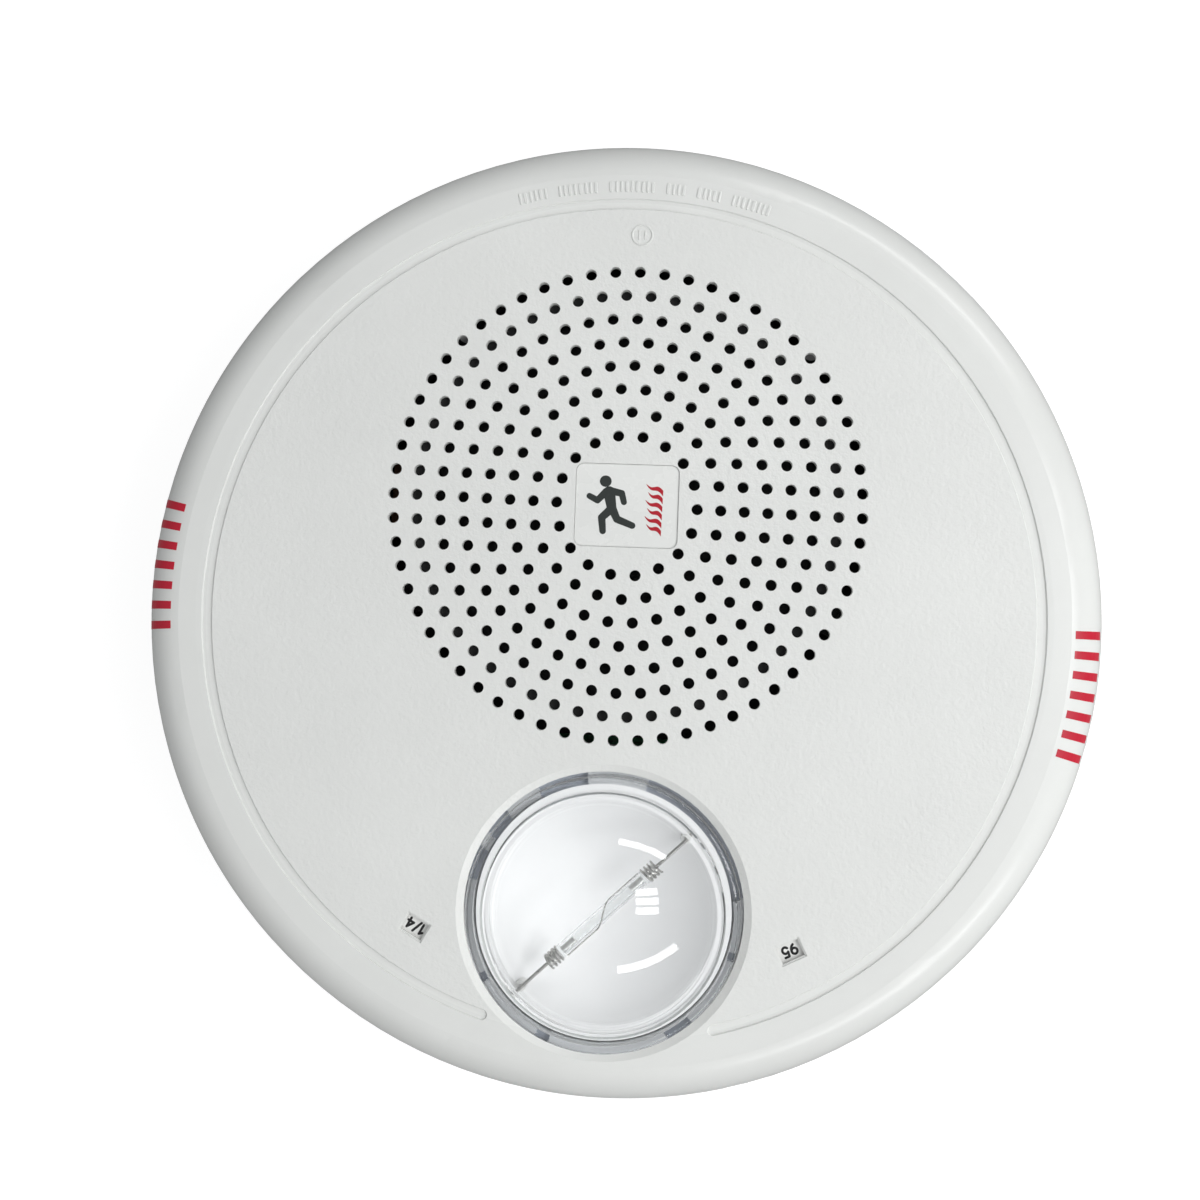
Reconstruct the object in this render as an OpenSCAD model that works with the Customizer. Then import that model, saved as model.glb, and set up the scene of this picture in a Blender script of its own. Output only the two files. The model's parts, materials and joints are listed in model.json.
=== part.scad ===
// Round ceiling speaker strobe: a low-profile cover with a perforated sounder area and a
// clear strobe dome, over a chassis that carries the loudspeaker, its line transformer and
// the strobe board. +Z points out of the face; z = 0 is the plane of the ceiling; the origin
// is the centre of the round cover in that plane; +Y runs from the strobe to the sounder.

/* [Cover] */
// Outer diameter of the cover
cover_d = 226; // [224:1:232]
// Height of the face above the ceiling
face_z = 26; // [25.6:0.2:27]
// Thickness of the cover's wall
wall = 2.6; // [2.2:0.1:2.8]
// Radius of the rounded shoulder between the face and the side
shoulder_r = 10; // [9:0.5:11]

/* [Sounder grille] */
// Distance of the sounder's axis from the centre of the cover
grille_y = 26.1; // [25.5:0.1:27]
// Distance between neighbouring rings of sound holes
ring_pitch = 5.4; // [5.2:0.1:5.5]
// Diameter of a sound hole
hole_d = 2.6; // [2:0.1:2.8]

/* [Strobe] */
// Distance of the strobe's axis from the centre of the cover
strobe_y = 67.3; // [66:0.1:68]
// Outer radius of the clear lens drum
lens_r = 31.5; // [31:0.5:32.5]
// Height of the dome above the lens drum
dome_h = 12; // [9:0.5:14]
// Outer diameter of the xenon flash tube
tube_d = 3.2; // [2.8:0.1:3.6]

/* [Selector dials] */
// Sideways distance of a dial window from the centre line
window_x = 43; // [42.5:0.5:44]
// Distance of the dial windows below the centre of the cover
window_y = 73.3; // [72.5:0.1:74]
// Tilt of the dial windows
window_tilt = 28; // [26:1:30]
// Radius at which the values stand on a dial
dial_label_r = 7.8; // [7.4:0.1:8]

/* [Electrical box] */
// Spacing of the box screws along X and along Y
box_pitch = 84; // [82:0.5:86]
// Diameter of the box screw holes
box_hole_d = 4.8; // [4.4:0.1:5.2]

/* [Hidden] */
$fn = 64;
eps = 0.01;
cover_r = cover_d / 2;
inner_z = face_z - wall;
lean = 5;
crease = 6;
crest_z = face_z - 0.15;
shoulder_z = crest_z - shoulder_r * cos(crease);
shoulder_x = cover_r - (shoulder_r + shoulder_z * sin(lean)) / cos(lean);
crest_r = shoulder_x + shoulder_r * sin(crease);
ramp_r = 98.5;
ramp = (face_z - crest_z) / (crest_r - ramp_r);
channel_r = 95.9;
channel_w = 2.6;
channel_depth = 0.45;
channel_gap = 16;
rim_gap = 0.4;

lug_r = 54.5;
lug_angles = [-25, 25, 155, 205];
flange_z = 18;
basket_d = 101.6;
strip_t = 1.4;

plate_t = 2.5;
chassis_r = 108;
board_z = 6;
board_t = 1.6;
board_top = board_z + board_t;
board_posts = [[58, -34], [-58, -34], [32, -92], [-32, -92]];

lens_z = 20.6;
lens_wall = 1.8;
flange_r = lens_r + 3.4;
gasket_top = lens_z + lens_wall + 0.8;
drum_top = face_z + 3.6;
lens_gap = 0.7;
dome_base_r = lens_r - 5.5;
dome_r = (pow(dome_base_r, 2) + pow(dome_h, 2)) / (2 * dome_h);
dome_c = drum_top + dome_h - dome_r;
tube_z = face_z + 1;
tube_half = 13;
tube_angle = 45;
lead_r = 0.4;
lead_reach = 25;

dial_r = 10.2;
dial_z = face_z - 2.8;
window_floor = face_z - 1.2;
dial_t = 1.2;
dial_x = window_x + dial_label_r * sin(window_tilt);
dial_y = -window_y - dial_label_r * cos(window_tilt);
dial_step = 45;
shaft_r = 2;
running = 0.05;

// ---------- shared shapes ----------

module at_sounder() { translate([0, grille_y, 0]) children(); }
module at_strobe() { translate([0, -strobe_y, 0]) children(); }
module at_transformer() { translate([-80, 6, plate_t]) children(); }

// Flat ring from z to z + h
module ring(r_out, r_in, z, h) {
    translate([0, 0, z])
        difference() {
            cylinder(h = h, r = r_out);
            translate([0, 0, -1]) cylinder(h = h + 2, r = r_in);
        }
}

// Rectangle with round corners, centred
module rounded_rect(w, h, r) {
    square([w - 2 * r, h], center = true);
    square([w, h - 2 * r], center = true);
    for (x = [-1, 1], y = [-1, 1])
        translate([x * (w / 2 - r), y * (h / 2 - r)]) circle(r = r);
}

// Block standing on z, centred in X and Y
module block(size, z) {
    translate([-size[0] / 2, -size[1] / 2, z]) cube(size);
}

// Pan-head screw: its head stands on z, its shank goes down
module screw(head_r, head_h, shank_r, shank_l) {
    difference() {
        union() {
            cylinder(h = head_h, r1 = head_r, r2 = head_r * 0.78);
            translate([0, 0, -shank_l]) cylinder(h = shank_l + eps, r = shank_r);
        }
        for (a = [0, 90])
            rotate([0, 0, a]) block([head_r * 1.1, head_r * 0.26, head_h], head_h * 0.4);
    }
}

// Round wire along a path of points, with sides of its own number
function unit(v) = v / norm(v);
function tangent(p, i) = unit(p[min(i + 1, len(p) - 1)] - p[max(i - 1, 0)]);
function side_of(t) = unit(cross(t, abs(t[2]) > 0.9 ? [0, 1, 0] : [0, 0, 1]));
function wire_ring(p, i, r, n) =
    let (t = tangent(p, i), u = side_of(t), v = cross(t, u))
    [for (k = [0:n - 1]) p[i] + r * (u * cos(360 * k / n) + v * sin(360 * k / n))];
function bezier(a, b, c, d, s) =
    pow(1 - s, 3) * a + 3 * pow(1 - s, 2) * s * b + 3 * (1 - s) * s * s * c + pow(s, 3) * d;
function bezier_path(a, b, c, d, steps) = [for (i = [0:steps]) bezier(a, b, c, d, i / steps)];

module wire(path, r, n = 8) {
    m = len(path);
    points = [for (i = [0:m - 1]) each wire_ring(path, i, r, n)];
    walls = [for (i = [0:m - 2], k = [0:n - 1])
        [i * n + k, i * n + (k + 1) % n, (i + 1) * n + (k + 1) % n, (i + 1) * n + k]];
    ends = [[for (k = [n - 1:-1:0]) k], [for (k = [0:n - 1]) (m - 1) * n + k]];
    polyhedron(points, concat(walls, ends), convexity = 4);
}

// ---------- cover ----------

// Half section of the cover's outside, shrunk inwards by inset: a flat face that slopes a
// little outside the channel, a round shoulder and a side that leans out to the ceiling
module cover_section(inset) {
    r = shoulder_r - inset;
    top = face_z - inset;
    intersection() {
        polygon([
            [0, -1], [cover_r + 1, -1], [cover_r + 1, top - (cover_r + 1 - ramp_r) * ramp],
            [ramp_r, top], [0, top]
        ]);
        union() {
            translate([0, -1]) square([shoulder_x, face_z + 2]);
            translate([shoulder_x, shoulder_z]) circle(r = r, $fn = 128);
            polygon([
                [0, -1], [shoulder_x + (r + (shoulder_z + 1) * sin(lean)) / cos(lean), -1],
                [shoulder_x + r * cos(lean), shoulder_z + r * sin(lean)],
                [0, shoulder_z]
            ]);
        }
    }
}

module cover_shell() {
    rotate_extrude($fn = 180)
        intersection() {
            difference() {
                cover_section(0);
                cover_section(wall);
            }
            square([cover_r + 1, face_z + 1]);
        }
}

// Concentric rings of 18, 24, 30 ... 60 sound holes
module sound_holes() {
    at_sounder()
        for (k = [3:10], j = [0:6 * k - 1])
            rotate([0, 0, 360 * j / (6 * k)])
                translate([k * ring_pitch, 0, inner_z - 1])
                    cylinder(h = wall + 2, d = hole_d, $fn = 20);
}

// Flat-bottomed channel that parts the grained face from the smooth rim
module rim_channel() {
    top = face_z + 0.6;
    floor_z = face_z - channel_depth;
    half_top = channel_w / 2 + 0.25;
    half_floor = channel_w / 2 - 0.25;
    rotate([0, 0, -90 + channel_gap])
        rotate_extrude(angle = 360 - 2 * channel_gap, $fn = 180)
            polygon([
                [channel_r - half_floor, floor_z], [channel_r + half_floor, floor_z],
                [channel_r + half_top, top], [channel_r - half_top, top]
            ]);
    for (s = [-1, 1])
        rotate([0, 0, -90 + s * channel_gap])
            translate([channel_r, 0, floor_z])
                cylinder(h = top - floor_z, r1 = half_floor, r2 = half_top, $fn = 32);
}

// Opening for the lens, with a sunk bevel round it and a seat for its flange and gasket behind
module strobe_opening() {
    at_strobe() {
        translate([0, 0, inner_z - 1]) cylinder(h = wall + 2, r = lens_r + lens_gap, $fn = 96);
        translate([0, 0, face_z - 1.1])
            cylinder(h = 1.3, r1 = lens_r + lens_gap, r2 = lens_r + lens_gap + 2, $fn = 96);
        cylinder(h = gasket_top, r = flange_r + rim_gap, $fn = 96);
    }
}

// Windows with a stepped edge, each over a round pocket that the dial turns in
module dial_windows() {
    for (s = [-1, 1]) {
        translate([s * window_x, -window_y, 0])
            rotate([0, 0, s * window_tilt]) {
                block([5.4, 4, wall + 2], inner_z - 1);
                block([6.2, 4.8, 1], face_z - 0.4);
            }
        at_dial(s) cylinder(h = window_floor, r = dial_r + rim_gap, $fn = 96);
    }
}

// Shallow pocket in the middle of the grille
module pictogram_pocket() {
    at_sounder()
        translate([0, 0, face_z - 0.7])
            rotate([0, 0, 1.2])
                linear_extrude(2) rounded_rect(23.8, 19.2, 1.9);
}

// Tongues inside the wall that grip the rim of the chassis
module grip_tongues() {
    for (a = [45:90:315])
        rotate([0, 0, a])
            intersection() {
                ring(cover_r - wall + eps, chassis_r + rim_gap, 1, 8);
                block([2 * cover_r, 16, 20], 0);
            }
}

module cover() {
    color("whitesmoke") {
        difference() {
            cover_shell();
            sound_holes();
            rim_channel();
            strobe_opening();
            dial_windows();
            pictogram_pocket();
        }
        grip_tongues();
    }
}

module pictogram_plate() {
    color("white")
        at_sounder()
            translate([0, 0, face_z - 0.7])
                rotate([0, 0, 1.2])
                    linear_extrude(0.4) rounded_rect(23.6, 19, 1.8);
}

// ---------- chassis ----------

module speaker_posts() {
    at_sounder()
        for (a = lug_angles)
            rotate([0, 0, a])
                translate([lug_r, 0, 0])
                    difference() {
                        union() {
                            translate([0, 0, plate_t - eps])
                                cylinder(h = flange_z - plate_t + eps, r = 4.4);
                            block([12, 1.6, 9], plate_t - eps);
                        }
                        translate([0, 0, plate_t]) cylinder(h = flange_z, r = 1.4);
                    }
}

module board_standoffs() {
    for (p = board_posts)
        translate([p[0], p[1], 0])
            difference() {
                translate([0, 0, plate_t - eps])
                    cylinder(h = board_z - plate_t + eps, r = 3.2);
                translate([0, 0, 1.2]) cylinder(h = board_z, r = 1.1);
            }
}

module chassis_ribs() {
    for (a = [-8, 8, 32, 78, 102, 148])
        rotate([0, 0, a])
            translate([75, -0.8, plate_t - eps]) cube([31, 1.6, 4]);
}

module chassis() {
    color("dimgray")
        difference() {
            union() {
                cylinder(h = plate_t, r = chassis_r, $fn = 180);
                ring(chassis_r, chassis_r - 2.4, plate_t - eps, 6.5);
                speaker_posts();
                board_standoffs();
                chassis_ribs();
                box_pads();
            }
            at_sounder() translate([0, 0, -1]) cylinder(h = 10, r = 38, $fn = 96);
            box_holes();
            translate([-20, -24, -1]) cube([40, 9.5, 10]);
            transformer_holes();
        }
}

module at_box_holes() {
    at_sounder()
        for (x = [-1, 1], y = [-1, 1])
            translate([x * box_pitch / 2, y * box_pitch / 2, 0]) children();
}
module box_pads() { at_box_holes() cylinder(h = plate_t + 1, r = 6.5); }
module box_holes() { at_box_holes() translate([0, 0, -1]) cylinder(h = 10, d = box_hole_d); }
module transformer_holes() {
    at_transformer()
        for (s = [-1, 1])
            translate([s * 19, 0, -1.5]) cylinder(h = 10, r = 1.2);
}

// ---------- loudspeaker ----------

module basket_section() {
    polygon([
        [14.2, -2], [31.5, -2], [45.2, flange_z], [basket_d / 2, flange_z],
        [basket_d / 2, flange_z + 1], [44.4, flange_z + 1], [31, -0.6], [31, 0.6],
        [28.5, 0.6], [28.5, -1], [14.2, -1]
    ]);
}

module basket_lug() {
    difference() {
        union() {
            translate([lug_r, 0]) circle(r = 4.2);
            translate([basket_d / 2 - 3, -4.2]) square([lug_r - basket_d / 2 + 3, 8.4]);
        }
        translate([lug_r, 0]) circle(r = 1.7);
    }
}

module speaker_basket() {
    color("dimgray")
        at_sounder() {
            difference() {
                rotate_extrude($fn = 120) basket_section();
                for (a = [0:90:270])
                    rotate([0, 0, a]) translate([26, -14, 2.5]) cube([22, 28, 12.5]);
            }
            for (a = lug_angles)
                rotate([0, 0, a])
                    translate([0, 0, flange_z])
                        linear_extrude(1)
                            difference() {
                                basket_lug();
                                circle(r = basket_d / 2 - 1, $fn = 120);
                            }
        }
}

module speaker_gasket() {
    color("black")
        at_sounder()
            ring(basket_d / 2, 46.4, flange_z + 1.4, inner_z - flange_z - 1.4);
}

module speaker_screws() {
    color("silver")
        at_sounder()
            for (a = lug_angles)
                rotate([0, 0, a]) translate([lug_r, 0, flange_z + 1]) screw(3, 1.8, 1.35, 9);
}

module magnet_ring() {
    color("darkslategray")
        at_sounder()
            rotate_extrude($fn = 96)
                polygon([[14.6, -18], [29, -18], [30, -17], [30, -9], [29, -8], [14.6, -8]]);
}

module front_pole_plate() {
    color("silver") at_sounder() ring(27, 13.4, -8, 6);
}

module back_plate_and_pole() {
    color("silver")
        at_sounder()
            rotate_extrude($fn = 96)
                polygon([
                    [0, -23], [26.4, -23], [27, -22.4], [27, -18], [11.6, -18],
                    [11.6, -2.5], [11, -1.9], [0, -1.9]
                ]);
}

module paper_cone() {
    color("dimgray")
        at_sounder()
            rotate_extrude($fn = 120)
                polygon([[12.45, 2.7], [41, 18.4], [41, 19], [40, 19], [12.45, 3.6]]);
}

// Half roll between the cone and the basket's flange
module cone_surround() {
    roll_x = 43.3;
    color("black")
        at_sounder()
            rotate_extrude($fn = 120) {
                intersection() {
                    translate([roll_x, 19])
                        difference() {
                            circle(r = 2.3);
                            circle(r = 1.9);
                        }
                    translate([40, 19]) square([6, 4]);
                }
                translate([39.6, 19]) square([1.8, 0.4]);
                translate([45.2, 19]) square([4.6, 0.4]);
            }
}

// Corrugated disc that centres the coil
module spider() {
    steps = 24;
    r_in = 12.5;
    r_out = 28.4;
    span = r_out - r_in;
    color("goldenrod")
        at_sounder()
            rotate_extrude($fn = 96)
                polygon(concat(
                    [for (i = [0:steps]) [r_in + span * i / steps, 1 + 0.6 * sin(360 * 3 * i / steps)]],
                    [[31, 1], [31, 0.6], [28.2, 0.6]],
                    [for (i = [steps:-1:0]) if (i < steps)
                        [r_in + span * i / steps, 0.6 + 0.6 * sin(360 * 3 * i / steps)]]
                ));
}

module dust_cap() {
    color("dimgray")
        at_sounder()
            rotate_extrude($fn = 96)
                intersection() {
                    translate([0, -16.4])
                        difference() {
                            circle(r = 26.5, $fn = 160);
                            circle(r = 26.1, $fn = 160);
                        }
                    translate([0, 5.2]) square([30, 10]);
                }
}

module coil_former() { color("peru") at_sounder() ring(12.45, 12.1, -9.5, 13.6); }
module voice_coil() { color("chocolate") at_sounder() ring(12.95, 12.45, -8.6, 5); }

module terminal_strip() {
    color("sienna")
        at_sounder()
            translate([-51, 0, 0]) {
                block([9, 15, strip_t], flange_z - strip_t);
                for (s = [-1, 1])
                    translate([-0.5, s * 6.1, flange_z - strip_t - 0.5]) cylinder(h = 1, r = 1.1);
            }
}

module terminal_lugs() {
    color("goldenrod")
        at_sounder()
            for (s = [-1, 1])
                translate([-53.5, s * 3.4, flange_z - strip_t - 0.5]) {
                    difference() {
                        block([9, 2.8, 0.5], 0);
                        translate([-3, 0, -1]) cylinder(h = 3, r = 0.7);
                    }
                    translate([0, 0, -0.5]) cylinder(h = 0.5 + eps, r = 1.1);
                }
}

module tinsel_leads() {
    color("peru")
        at_sounder()
            for (s = [-1, 1])
                wire(bezier_path([-49.2, s * 3.4, 15.7], [-42, s * 3.4, 15],
                    [-34, s * 4, 5], [-24.6, s * 4, 9.1], 14), 0.4);
}

// ---------- line transformer ----------

module transformer_core() {
    color("slategray")
        at_transformer()
            translate([0, 0, 0.8])
                linear_extrude(12)
                    difference() {
                        square([30, 26], center = true);
                        for (s = [-1, 1]) translate([s * 7, 0]) square([6, 16], center = true);
                    }
}

module transformer_bobbin() {
    color("ivory")
        at_transformer()
            difference() {
                union() {
                    for (s = [-1, 1]) translate([0, s * 7.2, 0]) block([19.6, 1.1, 14.6], -0.5 + 0.8);
                    block([9.6, 15.4, 13.6], 0);
                }
                block([8.02, 20, 12.02], 0.79);
                block([30, 30, 1], -1);
            }
}

module transformer_winding() {
    color("chocolate")
        at_transformer()
            difference() {
                block([19, 13.2, 14.2], 0.4);
                block([9.64, 20, 13.24], 0.38);
            }
}

module transformer_bracket() {
    color("silver")
        at_transformer()
            difference() {
                union() {
                    block([45, 14, 0.8], 0);
                    for (s = [-1, 1]) {
                        translate([s * 15.4, 0, 0]) block([0.8, 14, 13.6], 0);
                        translate([s * 13.6, 0, 0]) block([4.4, 14, 0.8], 12.8);
                    }
                }
                block([22, 20, 0.8 + eps], -eps);
                for (s = [-1, 1]) translate([s * 19, 0, -1]) cylinder(h = 4, r = 1.5);
            }
}

module transformer_screws() {
    color("silver")
        at_transformer()
            for (s = [-1, 1]) translate([s * 19, 0, 0.8]) screw(2.6, 1.6, 1.15, 2.2);
}

// Pair of wires from the transformer to the loudspeaker's lugs
module secondary_wires() {
    color("black")
        for (s = [-1, 1])
            wire(bezier_path([-73 - s * 1.4, 13.8, 15.8], [-73 - s * 1.4, 22, 17],
                [-66, grille_y + s * 3.4, 17.2], [-56.4, grille_y + s * 3.4, 17.2], 14), 0.6);
}

// Pair of wires from the board's header to the transformer
module primary_wires() {
    color("firebrick")
        for (s = [-1, 1])
            wire(bezier_path([-63 + s * 1.3, -44, 13.8], [-64 + s * 1.3, -32, 20],
                [-80 + s * 2, -22, 18], [-82 + s * 2, -3.4, 17.4], 16), 0.6);
}

// ---------- strobe board ----------

module circuit_board() {
    color("darkgreen")
        difference() {
            translate([0, 0, board_z])
                linear_extrude(board_t)
                    intersection() {
                        circle(r = 103, $fn = 120);
                        translate([-67, -104]) square([134, 76]);
                    }
            for (p = board_posts)
                translate([p[0], p[1], 0]) cylinder(h = 20, r = 1.6);
            at_strobe()
                for (s = [-1, 1])
                    rotate([0, 0, tube_angle])
                        translate([s * lead_reach, 0, 0]) cylinder(h = 20, r = lead_r + 0.2);
        }
}

module board_screws() {
    color("silver")
        for (p = board_posts) translate([p[0], p[1], board_top]) screw(2.6, 1.6, 1.05, 5);
}

module board_chips() {
    color("black")
        for (p = [[31, -36.5, 9, 6], [22, -31.4, 5, 4], [-31, -36, 7, 5], [-26, -31.2, 4, 4]])
            translate([p[0], p[1], 0]) block([p[2], p[3], 1.6], board_top);
}

module board_resistors() {
    color("tan")
        for (i = [0:5])
            translate([60, -46 - 4 * i, board_top + 1.1])
                rotate([0, 90, 0])
                    translate([0, 0, -3.2]) cylinder(h = 6.4, r = 1.1);
}

module flash_capacitor() {
    color("silver")
        translate([-48, -41.6, board_top + 6.6])
            rotate([90, 0, 0])
                union() {
                    cylinder(h = 25, r = 6);
                    translate([0, 0, -0.6]) cylinder(h = 0.6, r = 5.2);
                }
}

module capacitor_sleeve() {
    color("midnightblue")
        translate([-48, -42.4, board_top + 6.6])
            rotate([90, 0, 0]) ring(6.4, 6.02, 0, 23.6);
}

module trigger_transformer() {
    color("gold") translate([43, -62, 0]) block([8, 9, 10], board_top);
}

module inductor_core() {
    color("dimgray")
        translate([48, -48, board_top]) {
            cylinder(h = 1.6, r = 6.4);
            translate([0, 0, 1.6]) cylinder(h = 7.4, r = 3);
            translate([0, 0, 9]) cylinder(h = 1.6, r = 6.4);
        }
}

module inductor_winding() {
    color("chocolate") translate([48, -48, 0]) ring(5.6, 3.02, board_top + 1.65, 7.3);
}

module power_transistor() {
    color("black")
        translate([-36, -44, board_top]) {
            block([8.4, 4.4, 9], 0);
            translate([0, 1.9, 0]) block([8.4, 0.6, 14], 0);
        }
}

module blocking_capacitor() {
    color("firebrick") translate([-63, -56, 0]) block([5, 13, 10], board_top);
}

module terminal_block() {
    difference() {
        block([15.4, 10, 10.4], board_top);
        for (s = [-1, 1])
            translate([s * 3.8, 0, 0]) {
                translate([0, 3.5, 0]) block([5, 5, 4.4], board_top + 1);
                translate([0, 0, board_top + 5.8]) cylinder(h = 6, r = 2.6);
            }
    }
}

module audio_terminal_block() { color("seagreen") translate([-43, -33.4, 0]) terminal_block(); }
module strobe_terminal_block() { color("seagreen") translate([44.6, -33.4, 0]) terminal_block(); }

module terminal_screws() {
    color("silver")
        for (x = [-43, 44.6], s = [-1, 1])
            translate([x + s * 3.8, -33.4, board_top + 7.2]) screw(2.4, 1.4, 1.3, 1.4);
}

module wire_header() {
    color("ivory")
        translate([-63, -44.8, 0])
            difference() {
                block([6.4, 5, 6], board_top);
                for (s = [-1, 1])
                    translate([s * 1.3, 0.8, board_top + 3]) cylinder(h = 4, r = 0.75);
            }
}

// ---------- strobe head ----------

module strobe_housing() {
    color("whitesmoke")
        at_strobe()
            difference() {
                rotate_extrude($fn = 120)
                    polygon([
                        [33, board_top], [37.4, board_top], [37.4, board_top + 1.4],
                        [35.4, board_top + 1.4], [35.4, lens_z], [33, lens_z],
                        [33, 18], [28.2, 18], [28.2, 16.6], [33, 16.6]
                    ]);
                for (a = [30:120:270])
                    rotate([0, 0, a]) translate([30, -6, board_top - 1]) cube([10, 12, 6]);
            }
}

// Metallised bowl with a rim and a skirt that stands on the housing's shelf
module reflector() {
    bowl_r = 25.6;
    bowl_h = 11;
    rho = (pow(bowl_r, 2) + pow(bowl_h, 2)) / (2 * bowl_h);
    rim_z = face_z - 2.6;
    centre_z = rim_z - bowl_h + rho;
    color("gainsboro")
        at_strobe()
            difference() {
                rotate_extrude($fn = 120) {
                    difference() {
                        intersection() {
                            translate([0, centre_z]) circle(r = rho + 1, $fn = 180);
                            translate([0, rim_z - bowl_h - 2]) square([29.2, bowl_h + 2]);
                        }
                        translate([0, centre_z]) circle(r = rho, $fn = 180);
                        translate([-1, rim_z]) square([40, 20]);
                    }
                    translate([26.6, rim_z - 1.8]) square([0.8, 1.8]);
                    translate([27.3, rim_z - 1.8]) square([0.8, 0.9]);
                    translate([28, rim_z - 1.8]) square([1.4, 1.8]);
                    translate([28.4, 18]) square([1, rim_z - 18]);
                }
                for (s = [-1, 1])
                    rotate([0, 0, tube_angle])
                        translate([s * lead_reach, 0, 0]) cylinder(h = 40, r = 1.3, $fn = 32);
            }
}

module along_tube() {
    at_strobe()
        translate([0, 0, tube_z]) rotate([0, 0, tube_angle]) rotate([0, 90, 0]) children();
}

module flash_tube() {
    color("lightcyan", 0.5)
        along_tube()
            difference() {
                translate([0, 0, -tube_half]) cylinder(h = 2 * tube_half, d = tube_d, $fn = 40);
                translate([0, 0, -tube_half + 1])
                    cylinder(h = 2 * tube_half - 2, d = tube_d - 1.1, $fn = 40);
            }
}

module tube_electrodes() {
    color("dimgray")
        along_tube()
            for (s = [0, 180])
                rotate([s, 0, 0]) {
                    translate([0, 0, tube_half - 4.6]) cylinder(h = 3.6, r = 0.8, $fn = 24);
                    ring_cap();
                }
}

module ring_cap() {
    translate([0, 0, tube_half]) cylinder(h = 3, r = 1.3, $fn = 32);
}

module tube_leads() {
    color("dimgray")
        at_strobe()
            rotate([0, 0, tube_angle])
                for (s = [0, 180])
                    rotate([0, 0, s]) {
                        translate([tube_half + 3, 0, tube_z])
                            rotate([0, 90, 0])
                                cylinder(h = lead_reach - tube_half - 3, r = lead_r, $fn = 24);
                        translate([lead_reach, 0, board_z])
                            cylinder(h = tube_z - board_z, r = lead_r, $fn = 24);
                        translate([lead_reach, 0, tube_z]) sphere(r = lead_r, $fn = 24);
                    }
}

// Fine wire on the glass that crosses over it once at the middle
module trigger_wire() {
    steps = 28;
    wire_r = 0.16;
    off = tube_d / 2 + wire_r + 0.03;
    function lean(t) = 70 * max(-1, min(1, t / 3));
    path = [for (i = [0:steps])
        let (t = (2 * i / steps - 1) * (tube_half - 1), a = lean(t)) [t, off * sin(a), off * cos(a)]];
    color("silver")
        at_strobe()
            translate([0, 0, tube_z]) rotate([0, 0, tube_angle]) wire(path, wire_r);
}

module tube_grommets() {
    color("whitesmoke")
        at_strobe()
            rotate([0, 0, tube_angle])
                for (s = [-1, 1])
                    translate([s * lead_reach, 0, 0]) ring(1.25, lead_r + 0.05, face_z - 5, 3.4);
}

module lens_gasket() {
    color("dimgray")
        at_strobe()
            ring(flange_r, lens_r + 0.9, lens_z + lens_wall, gasket_top - lens_z - lens_wall);
}

// Clear drum with a flange below the cover and a shallow dome on top
module strobe_lens() {
    bend = 1.4;
    color("lightcyan", 0.4)
        at_strobe()
            rotate_extrude($fn = 120)
                difference() {
                    union() {
                        translate([0, lens_z]) square([flange_r, lens_wall]);
                        translate([0, lens_z]) square([lens_r, drum_top - lens_z - bend]);
                        translate([0, lens_z]) square([lens_r - bend, drum_top - lens_z]);
                        translate([lens_r - bend, drum_top - bend]) circle(r = bend, $fn = 32);
                        intersection() {
                            translate([0, dome_c]) circle(r = dome_r, $fn = 180);
                            translate([0, drum_top - eps]) square([40, 30]);
                        }
                    }
                    translate([-1, lens_z - 1])
                        square([lens_r - lens_wall + 1, drum_top - lens_wall - lens_z + 1]);
                    intersection() {
                        translate([0, dome_c]) circle(r = dome_r - lens_wall, $fn = 180);
                        translate([-1, drum_top - lens_wall - 0.5]) square([40, 30]);
                    }
                    translate([-60, 0]) square([60, 80]);
                    polygon([
                        [26.7, drum_top + 0.2], [27.4, drum_top - 0.5], [28.1, drum_top + 0.2]
                    ]);
                }
}

// ---------- selector dials ----------

module at_dial(side) { translate([side * dial_x, dial_y, 0]) children(); }

module rotary_switch() {
    difference() {
        block([12, 12, 7.4], board_top);
        translate([0, 0, board_top + 1.4]) cylinder(h = 10, r = shaft_r + running);
    }
}

// Disc that carries the values, on a shaft in the switch
module dial() {
    difference() {
        union() {
            translate([0, 0, dial_z]) cylinder(h = dial_t, r = dial_r, $fn = 96);
            translate([0, 0, board_top + 7.9]) cylinder(h = dial_z - board_top - 7.9, r = 3.6);
            translate([0, 0, board_top + 2]) cylinder(h = 8, r = shaft_r);
        }
        block([5.4, 1.1, 2], dial_z + 0.5);
        for (a = [0:dial_step:315])
            rotate([0, 0, a + dial_step / 2])
                translate([dial_r + 0.4, 0, 0]) cylinder(h = 30, r = 1, $fn = 24);
    }
}

module candela_switch() { color("royalblue") at_dial(1) rotate([0, 0, window_tilt]) rotary_switch(); }
module tap_switch() { color("royalblue") at_dial(-1) rotate([0, 0, -window_tilt]) rotary_switch(); }
module candela_dial() { color("white") at_dial(1) rotate([0, 0, window_tilt]) dial(); }
module tap_dial() { color("white") at_dial(-1) rotate([0, 0, -window_tilt]) dial(); }

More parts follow.
